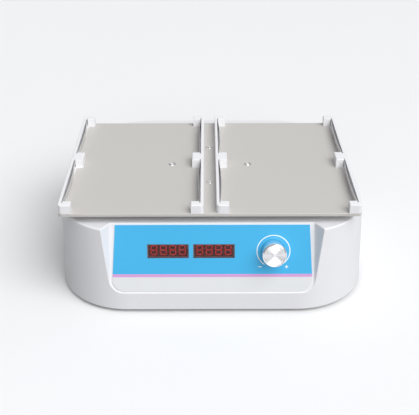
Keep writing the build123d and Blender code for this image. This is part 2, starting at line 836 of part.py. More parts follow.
def chassis():
    width = 2 * (standoff_x + chassis_margin)
    depth = 2 * (idler_y + chassis_reach)
    window_x = (motor_radius + standoff_x - chassis_margin) / 2 - 1.5
    plan = Pos(0, drive_y) * RectangleRounded(width, depth, chassis_corner)
    plan -= Pos(0, drive_y) * Circle(motor_boss_radius + 0.1)
    for side in (-1, 1):
        plan -= Pos(side * window_x, drive_y) * SlotOverall(*chassis_window)
    body = slab(plan, chassis_z, deck_z)
    holes = [(x, y, block_screw[0] + hole_play) for x, y in standoff_places + block_screw_places]
    holes += [(x, y, motor_screw[0] + hole_play) for x, y in motor_screw_places]
    for x, y, radius in holes:
        body -= disc(radius, chassis_z - 1, deck_z + 1, x, y)
    return body


def base_pan():
    plan = housing_plan(side_wall + pan_play + pan_recess * tan(radians(housing_draft)))
    for x, y in housing_bosses() + foot_places + standoff_places:
        plan -= Pos(x, y) * Circle(pan_screw[0] + hole_play)
    for x, y in main_spacers + supply_spacers:
        plan -= Pos(x, y) * Circle(board_screw[0] + hole_play)
    for side in (-1, 1):
        for k in range(vent_count):
            x = side * (vent_start + 2 * vent_width * k)
            plan -= Pos(x, drive_y) * Rot(0, 0, 90) * SlotOverall(vent_length, vent_width)
    return slab(plan, pan_z, floor_z)


def spacer_places(size, place):
    """Board screw places, near the corners of a board."""
    half_x = size[0] / 2 - spacer_inset
    half_y = size[1] / 2 - spacer_inset
    return [(place[0] + x, place[1] + y) for x in (-half_x, half_x) for y in (-half_y, half_y)]


main_spacers = spacer_places(main_board_size, main_board_place)
supply_spacers = spacer_places(supply_board_size, supply_board_place)
keep("chassis_plate", chassis())
keep("chassis_standoffs", *[ring(standoff_radius, deck_screw[0] + tap_play, floor_z, chassis_z, x, y) for x, y in standoff_places])
keep(
    "chassis_screws",
    *[Pos(x, y, deck_z) * pan_head(deck_screw) for x, y in standoff_places],
    *[Pos(x, y, pan_z) * Rot(180, 0, 0) * pan_head(pan_screw) for x, y in standoff_places],
)
keep("base_pan", base_pan())
keep(
    "housing_screws",
    *[Pos(x, y, pan_z) * Rot(180, 0, 0) * pan_head(housing_screw) for x, y in housing_bosses()],
)


def foot():
    """Turned rubber foot with a tapered side and a deep recess for its screw."""
    bore = foot_screw[0] + hole_play / 2
    side = make_face(
        Polyline(
            (bore, foot_seat),
            (foot_recess, foot_seat),
            (foot_recess, 0.0),
            (foot_radius - foot_taper, 0.0),
            (foot_radius, pan_z),
            (bore, pan_z),
            close=True,
        )
    )
    return revolve(Plane.XZ * side, axis=Axis.Z)


one_foot = foot()
keep("rubber_feet", *[Pos(x, y, 0) * one_foot for x, y in foot_places])
keep("foot_screws", *[Pos(x, y, foot_seat) * Rot(180, 0, 0) * pan_head(foot_screw) for x, y in foot_places])

# Boards on the base pan


def board(size, place, blocks, cans):
    """Circuit board with square parts and round cans on it, as one populated board."""
    low = floor_z + board_rise
    top = low + board_thickness
    body = slab(Pos(*place) * Rectangle(*size), low, top)
    for x, y, width, depth, height in blocks:
        body += slab(Pos(place[0] + x, place[1] + y) * Rectangle(width, depth), top, top + height)
    for x, y, radius, height in cans:
        body += disc(radius, top, top + height, place[0] + x, place[1] + y)
    for x, y in spacer_places(size, place):
        body -= disc(board_screw[0] + hole_play / 2, low - 1, top + 1, x, y)
    return body


main_header = (header_x - main_board_place[0], 0, 24, 6, 9)
main_terminal = (motor_lead_x - 13.0 - main_board_place[0], 24, 14, 12, 12)
supply_terminal = (-38, 0, 10, 24, 9)
main_blocks = [main_header, main_terminal, (20, -4, 14, 14, 1.8), (22, -24, 26, 8, 8), (-26, -20, 16, 8, 9)]
main_cans = [(-32, 18, 5.0, 12), (-2, -22, 4.0, 11)]
supply_blocks = [supply_terminal, (6, 0, 28, 26, 20), (34, 10, 22, 5, 22), (42, -8, 8, 18, 9)]
supply_cans = [(-20, -10, 7.0, 20), (28, -10, 5.0, 16)]
keep("main_board", board(main_board_size, main_board_place, main_blocks, main_cans))
keep("supply_board", board(supply_board_size, supply_board_place, supply_blocks, supply_cans))
spacer_spots = main_spacers + supply_spacers
keep("board_spacers", *[ring(post_radius, board_screw[0] + hole_play / 2, floor_z, floor_z + board_rise, x, y) for x, y in spacer_spots])
keep(
    "board_screws",
    *[
        Pos(x, y, board_top) * pan_head(board_screw)
        for x, y in spacer_spots
    ],
)

# Power inlet and switch


def inlet_section(width, height, cut):
    """Socket outline: a rectangle with its two upper corners cut off."""
    w = width / 2
    h = height / 2
    points = [(-w, -h), (w, -h), (w, h - cut), (w - cut, h), (-w + cut, h), (-w, h - cut)]
    return make_face(Polyline(*points, close=True))


inlet_at = rear_plane(inlet_x, rear_row_height)
switch_at = rear_plane(switch_x, rear_row_height)
pin_places = [(-7.0, 2.0), (7.0, 2.0), (0.0, -2.5)]


def power_inlet():
    flange_w, flange_h, flange_t = inlet_flange
    body_w, body_h, body_d = inlet_body
    body = extrude(SlotOverall(flange_w, flange_h), amount=flange_t)
    body += extrude(Rectangle(body_w, body_h), amount=-body_d)
    socket = inlet_section(inlet_socket[0], inlet_socket[1], 4.0)
    body -= extrude(Pos(0, 0, flange_t - inlet_socket[2]) * socket, amount=inlet_socket[2] + 1)
    for x, y in pin_places:
        body -= Pos(x, y, -body_d) * Box(2.0, 4.0, 2 * body_d)
    for side in (-1, 1):
        body -= Pos(side * inlet_screw_span / 2, 0, flange_t) * sink(inlet_screw, 2 * flange_t)
    return inlet_at * body


def inlet_pins():
    tip = inlet_flange[2] - inlet_pin_recess
    tail = -inlet_body[2] - inlet_tail_length
    return [inlet_at * Pos(x, y, (tip + tail) / 2) * Box(2.0, 4.0, tip - tail) for x, y in pin_places]


def switch_bezel():
    flange_w, flange_h, flange_t = bezel_flange
    body_w, body_h, body_d = bezel_body
    body = extrude(RectangleRounded(flange_w, flange_h, 1.5), amount=flange_t)
    body += extrude(Rectangle(body_w, body_h), amount=-body_d)
    well_w = rocker_width + 2 * rocker_side_gap
    well_h = 2 * (rocker_radius + 0.35)
    well_d = flange_t + rocker_depth + rocker_radius + 0.5
    body -= Pos(0, 0, flange_t - well_d / 2 + 0.5) * Box(well_w, well_h, well_d + 1)
    body -= Pos(0, 0, -rocker_depth) * Rot(0, 90, 0) * Cylinder(rocker_pin_radius + pin_clearance, well_w + 2.4)
    for x in (-5.0, 5.0):
        body += Pos(x, 0, -body_d - 4.0) * Box(0.8, 6.0, 9.0)
    return switch_at * body


def rocker():
    """Rocker: a round-backed block about its pin, its face two shallow planes that meet in the middle."""
    back = Rot(0, 90, 0) * Cylinder(rocker_radius, rocker_width)
    body = back & (Pos(0, 0, 3.5) * Box(rocker_width, 2 * rocker_radius, 11.0))
    dip = 5.4
    rise = 2.6
    reach = rocker_radius + 2
    face = make_face(Polyline((0, dip), (reach, dip + rise), (reach, 14), (-reach, 14), (-reach, dip + rise), close=True))
    body -= extrude(Plane.YZ * face, amount=rocker_width, both=True)
    body += Rot(0, 90, 0) * Cylinder(rocker_pin_radius, rocker_width + 2 * rocker_side_gap + 2.0)
    return switch_at * Pos(0, 0, -rocker_depth) * Rot(-rocker_tilt, 0, 0) * body


keep("power_inlet", power_inlet())
keep("inlet_pins", *inlet_pins())
keep(
    "inlet_screws",
    *[
        inlet_at * Pos(side * inlet_screw_span / 2, 0, inlet_flange[2]) * flat_head(inlet_screw)
        for side in (-1, 1)
    ],
)
keep("switch_bezel", switch_bezel())
keep("power_rocker", rocker())

# Leads inside the housing


def lead(points, radius, section):
    """Lead along straight runs with tangent arcs at their joints, its section's x axis along X."""
    path = FilletPolyline(*points, radius=radius)
    start = Plane(origin=path @ 0, x_dir=(1, 0, 0), z_dir=path % 0)
    return sweep(start * section, path=path)


def wire(points, radius):
    """Round insulated lead."""
    path = FilletPolyline(*points, radius=radius)
    return sweep(Plane(origin=path @ 0, z_dir=path % 0) * Circle(lead_radius), path=path)


header = on_panel(header_x, header_row, -board_depth - board_thickness - header_height)
ribbon_top = header.position
ribbon_foot = Vector(header_x, main_board_place[1] + main_header[1], board_top + main_header[4])
ribbon_points = [
    ribbon_top,
    ribbon_top - panel_plane().z_dir * 8,
    ribbon_foot + Vector(0, 0, header_rise),
    ribbon_foot,
]
motor_lead_z = motor_low + motor_block_rise
motor_terminal = Vector(
    main_board_place[0] + main_terminal[0],
    main_board_place[1] + main_terminal[1] + main_terminal[3] / 2,
    board_top + main_terminal[4] / 2,
)
motor_lead_points = [
    Vector(motor_lead_x, drive_y, motor_lead_z),
    Vector(motor_terminal.X, drive_y, motor_lead_z),
    motor_terminal + Vector(0, 9, 0),
    motor_terminal,
]
inlet_tail = (inlet_at * Pos(0, pin_places[2][1], -inlet_body[2] - inlet_tail_length)).position
supply_terminal_top = Vector(
    supply_board_place[0] + supply_terminal[0],
    supply_board_place[1] + supply_terminal[1],
    board_top + supply_terminal[4],
)
mains_points = [
    inlet_tail,
    inlet_tail - inlet_at.z_dir * 9,
    supply_terminal_top + Vector(0, 0, 12),
    supply_terminal_top,
]
keep("display_ribbon", lead(ribbon_points, lead_bend, Rectangle(ribbon_width, ribbon_thickness)))
keep("motor_lead", wire(motor_lead_points, lead_bend))
keep("mains_lead", wire(mains_points, lead_bend))

os.makedirs("parts", exist_ok=True)
for name, shape in pieces.items():
    export_step(shape, f"parts/{name}.step")
print(len(pieces), "pieces")
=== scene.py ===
"""Bench shaker for four microplates: its finishes, its fine pieces and the studio round it."""

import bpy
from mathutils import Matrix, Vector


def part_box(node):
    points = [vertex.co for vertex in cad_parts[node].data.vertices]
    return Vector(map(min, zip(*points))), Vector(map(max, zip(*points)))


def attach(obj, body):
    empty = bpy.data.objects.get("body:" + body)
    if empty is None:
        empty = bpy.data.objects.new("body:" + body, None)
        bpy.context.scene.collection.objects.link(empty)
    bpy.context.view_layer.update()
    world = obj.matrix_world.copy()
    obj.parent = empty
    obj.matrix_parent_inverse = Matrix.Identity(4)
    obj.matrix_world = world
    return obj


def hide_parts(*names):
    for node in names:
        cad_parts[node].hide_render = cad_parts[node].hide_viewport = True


bl_info = {
    "name": "Microplate shaker",
    "version": (1, 0, 0),
    "blender": (4, 5, 0),
    "location": "3D View > Sidebar > Shaker",
    "description": "Dresses a bench shaker for four microplates and sets up the studio round it",
    "category": "Object",
}

from math import cos, pi, radians, sin

import bmesh
import bpy
import numpy as np
from bpy.props import FloatProperty, FloatVectorProperty, IntProperty, PointerProperty

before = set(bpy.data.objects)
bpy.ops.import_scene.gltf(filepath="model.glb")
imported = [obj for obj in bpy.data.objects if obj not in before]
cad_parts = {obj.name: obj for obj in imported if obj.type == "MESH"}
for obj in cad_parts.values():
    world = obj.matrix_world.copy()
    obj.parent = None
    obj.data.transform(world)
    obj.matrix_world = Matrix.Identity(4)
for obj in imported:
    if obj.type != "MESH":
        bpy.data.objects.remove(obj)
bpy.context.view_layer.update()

mm = 0.001


def linear(*channels):
    """Scene colour of a display colour given as red, green and blue up to 255."""
    values = [c / 255 for c in channels]
    return tuple(v / 12.92 if v <= 0.04045 else ((v + 0.055) / 1.055) ** 2.4 for v in values)


# Places that follow from the frame


panel_tilt = radians(14.8)
panel_right = np.array((1.0, 0.0, 0.0))
panel_up = np.array((0.0, sin(panel_tilt), cos(panel_tilt)))
panel_out = np.array((0.0, -cos(panel_tilt), sin(panel_tilt)))
sheet_thickness = 0.8 * mm
sheet_drop = 2.0 * mm
sheet_high = np.array(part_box("control_overlay")[1])
panel_origin = np.array(
    (
        0.0,
        sheet_high[1] + sheet_drop * sin(panel_tilt),
        sheet_high[2] + sheet_drop * cos(panel_tilt) - sheet_thickness * sin(panel_tilt),
    )
)
tray_low, tray_high = (np.array(corner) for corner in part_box("tray_plate"))
tray_middle = (tray_low + tray_high) / 2
tray_top = tray_high[2]


def on_panel(x, row, height=0.0):
    """Place on the panel's own axes: x along it, row down from its top edge, height out of it."""
    origin = panel_origin + x * panel_right - row * panel_up + height * panel_out
    return origin, np.stack((panel_right, panel_up, panel_out))


# Settings that a user would change


def length(name, text, default):
    """Length property in metres."""
    return FloatProperty(name=name, description=text, default=default, unit="LENGTH", precision=5)


def colour(name, text, default):
    """Colour property."""
    return FloatVectorProperty(
        name=name, description=text, default=default, subtype="COLOR", min=0.0, max=1.0
    )


class ShakerSizes(bpy.types.PropertyGroup):
    """Sizes of the pieces that are made here."""

    knob_x: length("Knob place", "Distance of the knob's axis right of the panel's middle", 59.4 * mm)
    knob_row: length("Knob row", "Distance of the knob's axis below the panel's top edge", 28.4 * mm)
    knob_radius: length("Knob radius", "Outer radius of the turned knob", 11.7 * mm)
    knob_height: length("Knob height", "Height of the turned knob", 14.0 * mm)
    knob_bevel: length("Knob bevel", "Width of the bright bevel round the knob's face", 1.25 * mm)
    knob_pitch: length("Turning pitch", "Distance between the turned grooves of the knob's face", 0.42 * mm)
    digit_height: length("Digit height", "Height of one display digit", 9.2 * mm)
    digit_width: length("Digit width", "Width of one display digit", 5.6 * mm)
    digit_pitch: length("Digit pitch", "Distance between two display digits", 9.2 * mm)
    segment_width: length("Segment width", "Width of one display segment", 1.1 * mm)
    strip_thickness: length("Strip thickness", "Thickness of the bowed plate strips", 0.5 * mm)
    strip_height: length("Strip height", "Height of the bowed plate strips", 7.2 * mm)
    screw_dome: length("Screw dome", "Height of the domed middle of the tray screws", 0.55 * mm)
    foot_radius: length("Foot radius", "Outer radius of the rubber feet", 11.0 * mm)
    foot_rings: IntProperty(name="Foot rings", description="Moulded rings under each rubber foot", default=3)


class ShakerColours(bpy.types.PropertyGroup):
    """Colours of the finishes."""

    housing: colour("Housing", "Moulded housing", (0.80, 0.80, 0.825))
    rails: colour("Rails", "Plate rails", (0.84, 0.84, 0.86))
    tray: colour("Tray", "Coated tray plate", linear(196, 193, 189))
    sheet_blue: colour("Sheet blue", "Upper field of the printed sheet", linear(62, 178, 230))
    sheet_stripe: colour("Sheet stripe", "Thin stripe of the printed sheet", linear(214, 160, 214))
    sheet_band: colour("Sheet band", "Lower band of the printed sheet", linear(224, 226, 228))
    sheet_marks: colour("Sheet marks", "Ring and signs on the printed sheet", (0.92, 0.95, 0.97))
    window: colour("Window", "Dark filter over the displays", linear(74, 10, 16))
    digit: colour("Digits", "Lit display segments", (1.0, 0.045, 0.035))
    knob: colour("Knob", "Turned aluminium", (0.86, 0.86, 0.88))
    floor: colour("Floor", "Studio floor", (0.86, 0.86, 0.87))


class ShakerStudio(bpy.types.PropertyGroup):
    """Light of the studio."""

    key: FloatProperty(name="Key", description="Strength of the main light", default=2.2, min=0.0)
    sky: FloatProperty(name="Sky", description="Light from above, all round", default=0.62, min=0.0)
    ground: FloatProperty(name="Ground", description="Light from below, all round", default=0.34, min=0.0)


# Shader maths


class Term:
    """One output in a material, with the arithmetic that its formulas use."""

    def __init__(self, shader, socket):
        self.shader = shader
        self.socket = socket

    def maths(self, operation, *terms, clamp=False):
        settings = {"operation": operation, "use_clamp": clamp}
        return self.shader.node("ShaderNodeMath", settings, dict(enumerate(terms)))

    def __add__(self, other):
        return self.maths("ADD", self, other)

    def __radd__(self, other):
        return self.maths("ADD", other, self)

    def __sub__(self, other):
        return self.maths("SUBTRACT", self, other)

    def __rsub__(self, other):
        return self.maths("SUBTRACT", other, self)

    def __mul__(self, other):
        return self.maths("MULTIPLY", self, other)

    def __rmul__(self, other):
        return self.maths("MULTIPLY", other, self)

    def __truediv__(self, other):
        return self.maths("DIVIDE", self, other)

    def __rtruediv__(self, other):
        return self.maths("DIVIDE", other, self)

    def __pow__(self, other):
        return self.maths("POWER", self, other)

    def __neg__(self):
        return self.maths("MULTIPLY", self, -1.0)

    def __abs__(self):
        return self.maths("ABSOLUTE", self)

    def fraction(self):
        """What is left of the value after its whole part."""
        return self.maths("FRACT", self)

    def at_most(self, limit):
        """The value, or the limit where the value is over it."""
        return self.maths("MINIMUM", self, limit)

    def above(self, edge, soft):
        """1 where the value is over the edge, 0 where it is under it, with a soft step between."""
        return self.maths("ADD", (self - edge) / soft, 0.5, clamp=True)

    def below(self, edge, soft):
        """1 where the value is under the edge."""
        return self.maths("SUBTRACT", 0.5, (self - edge) / soft, clamp=True)


class Shader:
    """A material with one principled surface, built from terms."""

    def __init__(self, name, **constants):
        self.material = bpy.data.materials.new(name)
        self.material.use_nodes = True
        self.tree = self.material.node_tree
        self.surface = self.tree.nodes["Principled BSDF"]
        for socket, value in constants.items():
            self.surface.inputs[socket.replace("_", " ")].default_value = value

    def node(self, kind, settings=None, inputs=None, output=0):
        """Adds a node: its settings first, then the values or links of its sockets. Gives one output."""
        node = self.tree.nodes.new(kind)
        for name, value in (settings or {}).items():
            setattr(node, name, value)
        for key, value in (inputs or {}).items():
            self.feed(node.inputs[key], value)
        return Term(self, node.outputs[output])

    def feed(self, socket, value):
        if isinstance(value, Term):
            self.tree.links.new(value.socket, socket)
        elif socket.type == "RGBA" and len(value) == 3:
            socket.default_value = (*value, 1.0)
        else:
            socket.default_value = value

    def place(self):
        """Object coordinates, in metres from the shaker's own origin."""
        return self.node("ShaderNodeTexCoord", output=3)

    def scaled(self, vector, factors):
        return self.node("ShaderNodeVectorMath", {"operation": "MULTIPLY"}, {0: vector, 1: tuple(factors)})

    def along(self, direction, origin=(0.0, 0.0, 0.0)):
        """Distance of the shaded point from an origin along a direction."""
        ends = {0: self.place(), 1: tuple(origin)}
        offset = self.node("ShaderNodeVectorMath", {"operation": "SUBTRACT"}, ends)
        settings = {"operation": "DOT_PRODUCT"}
        return self.node("ShaderNodeVectorMath", settings, {0: offset, 1: tuple(direction)}, output=1)

    def noise(self, scale, detail=3.0, roughness=0.55, stretch=(1.0, 1.0, 1.0)):
        """Cloudy value about one half; stretch shortens the pattern along each axis."""
        place = self.scaled(self.place(), stretch)
        inputs = {"Vector": place, "Scale": scale, "Detail": detail, "Roughness": roughness}
        return self.node("ShaderNodeTexNoise", None, inputs)

    def mix(self, factor, first, second):
        """Colour between two colours."""
        return self.node("ShaderNodeMix", {"data_type": "RGBA"}, {0: factor, 6: first, 7: second}, output=2)

    def bump(self, height, distance, strength=1.0):
        inputs = {"Strength": strength, "Distance": distance, "Height": height}
        self.feed(self.surface.inputs["Normal"], self.node("ShaderNodeBump", None, inputs))

    def set(self, **terms):
        for socket, value in terms.items():
            self.feed(self.surface.inputs[socket.replace("_", " ")], value)
        return self.material


def tinted(base, factor):
    """A colour made lighter or darker."""
    return tuple(min(c * factor, 1.0) for c in base)


# Finishes


def moulded(name, base, rough, grain, depth, cloud=0.03, **constants):
    """Moulded plastic or rubber: faint cloudiness, an uneven sheen and a fine spark-eroded grain."""
    shader = Shader(name, **constants)
    clouds = shader.noise(9.0, 2.0)
    skin = shader.noise(grain, 2.0)
    shade = shader.mix(clouds, tinted(base, 1.0 - cloud), tinted(base, 1.0 + cloud))
    shader.bump(skin, depth)
    return shader.set(Base_Color=shade, Roughness=rough + 0.10 * (skin - 0.5) + 0.06 * (clouds - 0.5))


def metal(name, base, rough, stretch, scale=900.0, depth=0.00002, stain=0.08, **constants):
    """Bare or plated metal: fine drawn lines along one way, faint stains and an uneven polish."""
    shader = Shader(name, Metallic=1.0, **constants)
    lines = shader.noise(scale, 3.0, 0.6, stretch)
    stains = shader.noise(28.0, 3.0)
    shade = shader.mix(stains, tinted(base, 1.0 - stain), tinted(base, 1.0 + stain))
    shader.bump(lines, depth)
    return shader.set(Base_Color=shade, Roughness=rough + 0.16 * (lines - 0.5) + 0.12 * (stains - 0.5))


def coated(name, base, rough, speckle=0.03, peel=420.0, depth=0.00003):
    """Powder or satin coat on sheet metal: orange peel, faint speckle and a clear top."""
    shader = Shader(name, Coat_Roughness=0.35)
    peels = shader.noise(peel, 2.0)
    specks = shader.noise(2600.0, 1.0)
    shade = shader.mix(specks, tinted(base, 1.0 - speckle), tinted(base, 1.0 + speckle))
    shader.bump(peels, depth)
    sheen = rough + 0.12 * (peels - 0.5)
    return shader.set(Base_Color=shade, Roughness=sheen, Coat_Weight=0.15 + 0.1 * peels)


def cast_metal(name, base):
    """Sand-blasted casting: a coarse skin with small pits."""
    shader = Shader(name, Metallic=1.0)
    skin = shader.noise(650.0, 4.0, 0.7)
    pits = shader.node("ShaderNodeTexVoronoi", None, {"Vector": shader.place(), "Scale": 420.0})
    shade = shader.mix(skin, tinted(base, 0.86), tinted(base, 1.08))
    shader.bump(skin + 0.5 * pits, 0.00012)
    return shader.set(Base_Color=shade, Roughness=0.42 + 0.2 * skin)


def tray_coat(colours):
    """Satin coat on the tray: very fine speckle, faint cloudiness and a soft sheen."""
    shader = Shader("tray_coat", Coat_Roughness=0.4)
    specks = shader.noise(3200.0, 1.0)
    clouds = shader.noise(6.0, 2.0)
    peel = shader.noise(500.0, 2.0)
    base = tuple(colours.tray)
    fine = shader.mix(specks, tinted(base, 0.965), tinted(base, 1.035))
    shade = shader.mix(0.35 * clouds, fine, tinted(base, 1.08))
    shader.bump(specks + 0.6 * peel, 0.00002)
    sheen = 0.50 + 0.08 * (peel - 0.5)
    return shader.set(Base_Color=shade, Roughness=sheen, Coat_Weight=0.10 + 0.08 * clouds)


def printed_sheet(colours):
    """Printed film on the panel: blue field, thin stripe, pale band, and an open ring with two signs.

    Every mark is a mask on two distances: x across the panel, and the row down from its top edge.
    """
    shader = Shader("printed_sheet", Coat_Roughness=0.30, IOR=1.5)
    edge = 0.12 * mm
    x = shader.along(panel_right, panel_origin)
    row = -shader.along(panel_up, panel_origin)
    stripe_row = 52.0 * mm
    band_row = 55.1 * mm
    blue = tuple(colours.sheet_blue)
    clouds = shader.noise(5.0, 1.0)
    field = shader.mix(clouds, tinted(blue, 0.97), tinted(blue, 1.03))
    field = shader.mix(row.above(stripe_row, edge), field, tuple(colours.sheet_stripe))
    field = shader.mix(row.above(band_row, edge), field, tuple(colours.sheet_band))
    ring_x = 59.2 * mm
    ring_row = 28.5 * mm
    ring_radius = 16.0 * mm
    ring_half = 0.42 * mm
    gap_half = 8.6 * mm
    across = x - ring_x
    down = row - ring_row
    far = (across * across + down * down) ** 0.5
    ring = abs(far - ring_radius).below(ring_half, edge)
    gap = down.above(0.0, edge) * abs(across).below(gap_half, edge)
    marks = ring * (1.0 - gap)
    sign_row = 44.6 * mm
    sign_half = 1.7 * mm
    stroke_half = 0.36 * mm
    for sign_x, plus in ((46.4 * mm, False), (72.3 * mm, True)):
        side = abs(x - sign_x)
        level = abs(row - sign_row)
        bar = side.below(sign_half, edge) * level.below(stroke_half, edge)
        marks = marks + bar
        if plus:
            marks = marks + level.below(sign_half, edge) * side.below(stroke_half, edge)
    field = shader.mix(marks.at_most(1.0), field, tuple(colours.sheet_marks))
    texture = shader.noise(2400.0, 2.0)
    shader.bump(texture, 0.00001)
    sheen = 0.36 + 0.1 * (texture - 0.5)
    return shader.set(Base_Color=field, Roughness=sheen, Coat_Weight=0.22 + 0.05 * clouds)


def window_filter(colours):
    """Dark red filter: mostly opaque, glossy, with a faint haze."""
    shader = Shader("window_filter", IOR=1.49, Coat_Roughness=0.05)
    haze = shader.noise(60.0, 2.0)
    shade = shader.mix(haze, tinted(colours.window, 0.9), tinted(colours.window, 1.1))
    sheen = 0.14 + 0.05 * haze
    return shader.set(Base_Color=shade, Roughness=sheen, Alpha=0.50 + 0.04 * haze, Coat_Weight=0.3)


def lit_segment(colours):
    """Lit display segment: its glow varies a little from place to place."""
    shader = Shader("lit_segment", Emission_Strength=1.6, Roughness=0.5)
    glow = shader.noise(300.0, 1.0)
    light = shader.mix(glow, tinted(colours.digit, 0.75), tuple(colours.digit))
    return shader.set(Base_Color=(0.25, 0.01, 0.01), Emission_Color=light)


def turned_knob(colours):
    """Turned and polished aluminium with faint stains."""
    shader = Shader("turned_aluminium", Metallic=1.0)
    stains = shader.noise(140.0, 3.0)
    lines = shader.noise(2600.0, 2.0)
    base = tuple(colours.knob)
    shade = shader.mix(stains, tinted(base, 0.94), tinted(base, 1.02))
    return shader.set(Base_Color=shade, Roughness=0.17 + 0.08 * lines)


def circuit_board():
    """Green solder mask over copper traces, with pale pads."""
    shader = Shader("solder_mask", Coat_Roughness=0.2)
    place = shader.place()
    cells = {"Vector": place, "Scale": 260.0, "Randomness": 0.2}
    traces = shader.node("ShaderNodeTexVoronoi", {"feature": "DISTANCE_TO_EDGE"}, cells)
    pads = shader.node("ShaderNodeTexVoronoi", None, {"Vector": place, "Scale": 330.0})
    mask = traces.below(0.10, 0.04)
    green = shader.mix(mask, (0.010, 0.110, 0.045), (0.025, 0.210, 0.085))
    shade = shader.mix(pads.below(0.14, 0.03), green, (0.62, 0.62, 0.60))
    shader.bump(mask, 0.00003)
    return shader.set(Base_Color=shade, Roughness=0.34 + 0.1 * mask, Coat_Weight=0.4 - 0.1 * mask)


def ribbon_jacket():
    """Flat ribbon: pale cores side by side, with painted shade darkening the grooves between them, and one
    red edge core.
    """
    shader = Shader("ribbon_jacket")
    ribbon_cores = 14
    low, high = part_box("display_ribbon")
    pitch = (high[0] - low[0]) / ribbon_cores
    across = shader.along(panel_right, low)
    cores = abs((across / pitch).fraction() - 0.5)
    # Painted shade: each core is lighter along its middle and darker in the grooves between cores, where
    # shade falls.
    grey_with_painted_groove_shade = shader.mix(cores * 2.0, (0.46, 0.46, 0.48), (0.30, 0.30, 0.32))
    shade = shader.mix(across.below(pitch, pitch / 8), grey_with_painted_groove_shade, (0.45, 0.03, 0.03))
    shader.bump(1.0 - cores, 0.0002)
    return shader.set(Base_Color=shade, Roughness=0.45 + 0.1 * cores)


# Surfaces


def surface(name, grid, around=True, start_cap=False, end_cap=False):
    """Mesh of a grid of points: rows follow the profile, columns follow the path.

    Point (i, j) makes a face with (i, j + 1), (i + 1, j + 1) and (i + 1, j). With around, the last column
    joins the first. A cap closes the first or the last row with one flat face.
    """
    rows, columns = grid.shape[:2]
    index = np.arange(rows * columns).reshape(rows, columns)
    turned = np.roll(index, -1, axis=1)
    last = columns if around else columns - 1
    faces = np.stack((index[:-1, :last], turned[:-1, :last], turned[1:, :last], index[1:, :last]), axis=-1)
    faces = faces.reshape(-1, 4).tolist()
    if start_cap:
        faces.append(index[0, ::-1].tolist())
    if end_cap:
        faces.append(index[-1].tolist())
    mesh = bpy.data.meshes.new(name)
    mesh.from_pydata(grid.reshape(-1, 3), [], faces)
    work = bmesh.new()
    work.from_mesh(mesh)
    bmesh.ops.remove_doubles(work, verts=work.verts, dist=1e-7)
    bmesh.ops.recalc_face_normals(work, faces=work.faces)
    work.to_mesh(mesh)
    work.free()
    return mesh


def placed(grid, origin, axes):
    """The grid's x, y and z laid along three axes from an origin."""
    return np.asarray(origin) + grid @ np.asarray(axes)


upright = np.eye(3)


def turned(profile, steps):
    """Surface of revolution: a profile of radius and height goes round z, x = r cos a and y = r sin a."""
    angle = np.linspace(0.0, 2 * pi, steps, endpoint=False)
    radius = profile[:, 0, None]
    height = np.broadcast_to(profile[:, 1, None], (len(profile), steps))
    return np.stack((radius * np.cos(angle), radius * np.sin(angle), height), axis=-1)


def arc(centre, radius, start, stop, steps):
    """Points on a circle's arc, angles in degrees."""
    angle = np.radians(np.linspace(start, stop, steps))
    return np.stack((centre[0] + radius * np.cos(angle), centre[1] + radius * np.sin(angle)), axis=-1)


def outline_normals(outline):
    """Outward normals of a closed outline that runs anticlockwise: its chords turned a quarter clockwise."""
    chord = np.roll(outline, -1, axis=0) - np.roll(outline, 1, axis=0)
    normal = np.stack((chord[:, 1], -chord[:, 0]), axis=-1)
    return normal / np.linalg.norm(normal, axis=1, keepdims=True)


def prism(outline, section):
    """An outline carried through a section of inset and level.

    Each row is the outline at one level, moved in against its normals by that level's inset.
    """
    insets, levels = np.asarray(section).T[:, :, None, None]
    rows = outline - insets * outline_normals(outline)
    heights = np.broadcast_to(levels, (*rows.shape[:2], 1))
    return np.concatenate((rows, heights), axis=-1)


def rounded_section(low, high, radius, steps=4):
    """Section of a plate from low to high whose two edges are quarter rounds."""
    lower = arc((radius, low + radius), radius, 270, 180, steps)
    upper = arc((radius, high - radius), radius, 180, 90, steps)
    return np.concatenate((lower, upper))


def joined(name, meshes):
    """One mesh of several."""
    work = bmesh.new()
    for mesh in meshes:
        work.from_mesh(mesh)
        bpy.data.meshes.remove(mesh)
    mesh = bpy.data.meshes.new(name)
    work.to_mesh(mesh)
    work.free()
    return mesh


def piece(name, mesh, material, body, replaced=(), sharp=35.0):
    """A finished piece: smooth but for its sharp edges, riding on a body, standing for its nodes."""
    mesh.shade_smooth()
    mesh.set_sharp_from_angle(angle=radians(sharp))
    mesh.materials.append(material)
    made = bpy.data.objects.new(name, mesh)
    bpy.context.scene.collection.objects.link(made)
    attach(made, body)
    if replaced:
        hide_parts(*replaced)
    return made


def dress(material, *nodes):
    """Gives CAD nodes their finish."""
    for node in nodes:
        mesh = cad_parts[node].data
        mesh.materials.clear()
        mesh.materials.append(material)


# Operators, one for each piece or group of like pieces


class ShakerStep(bpy.types.Operator):
    """Common ground of the steps that dress the shaker."""

    bl_options = {"REGISTER"}

    def execute(self, context):
        self.make(context.scene.shaker_sizes, context.scene.shaker_colours)
        return {"FINISHED"}


class SHAKER_OT_housing(ShakerStep):
    """Finish the moulded housing and the base pan under it"""

    bl_idname = "shaker.housing"
    bl_label = "Housing and base pan"

    def make(self, sizes, colours):
        dress(moulded("housing_plastic", tuple(colours.housing), 0.40, 1500.0, 0.00002, 0.012), "housing")
        dress(coated("pan_coat", (0.30, 0.31, 0.32), 0.5), "base_pan")


class SHAKER_OT_tray(ShakerStep):
    """Finish the tray plate and its four rails"""

    bl_idname = "shaker.tray"
    bl_label = "Tray and rails"

    def make(self, sizes, colours):
        dress(tray_coat(colours), "tray_plate")
        rails = [f"rail_{side}_{edge}" for side in ("left", "right") for edge in ("outer", "inner")]
        dress(moulded("rail_plastic", tuple(colours.rails), 0.36, 1400.0, 0.00002, 0.012), *rails)


